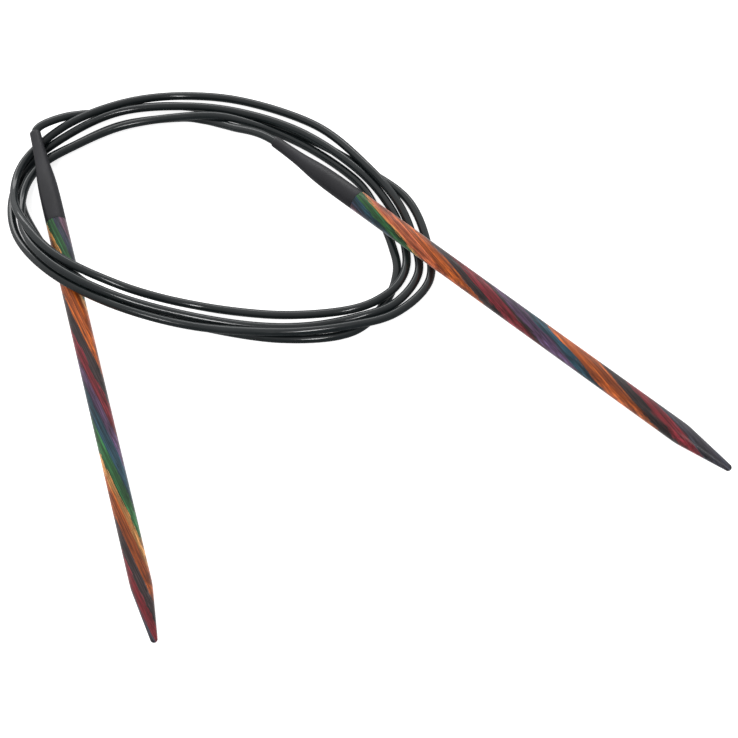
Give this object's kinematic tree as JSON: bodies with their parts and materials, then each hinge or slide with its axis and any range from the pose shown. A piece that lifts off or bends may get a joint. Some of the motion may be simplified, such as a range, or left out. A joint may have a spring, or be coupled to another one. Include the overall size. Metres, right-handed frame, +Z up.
{
  "type": "circular knitting needle",
  "caption": "Fixed circular knitting needle: two pointed rods of striped laminated wood, each with a tapered dark sleeve, joined by one long thin flexible cable that lies in a loose oval coil.",
  "frame": {"origin": "on the table, under the middle of the box around the two rigid tips", "axes": "+Z up from the table; +X to the viewer's right and +Y away from the viewer, as the needle lies with its points towards the viewer"},
  "size_m": [0.1348, 0.1275, 0.0114],
  "materials": {
    "wood": "lacquered laminated birch, its veneers dyed red, orange, green, blue, purple and charcoal",
    "sleeve": "satin charcoal plastic",
    "cable": "smooth near-black flexible plastic"
  },
  "bodies": {
    "cable": {"cable_coil": "cable", "cable_lead_left": "cable", "cable_lead_right": "cable"},
    "left_tip": {"needle_left": "wood", "sleeve_left": "sleeve", "cable_end_left": "cable"},
    "right_tip": {"needle_right": "wood", "sleeve_right": "sleeve", "cable_end_right": "cable"}
  },
  "joints": [
    {"name": "left_tip_swing", "type": "hinge", "parent": "cable", "child": "left_tip", "pos_m": [-0.0621, 0.061, 0.0056], "axis": [0, 0, 1], "range_deg": [-4, 4]},
    {"name": "right_tip_swing", "type": "hinge", "parent": "cable", "child": "right_tip", "pos_m": [-0.0099, 0.043, 0.0059], "axis": [0, 0, 1], "range_deg": [-3, 15]}
  ]
}
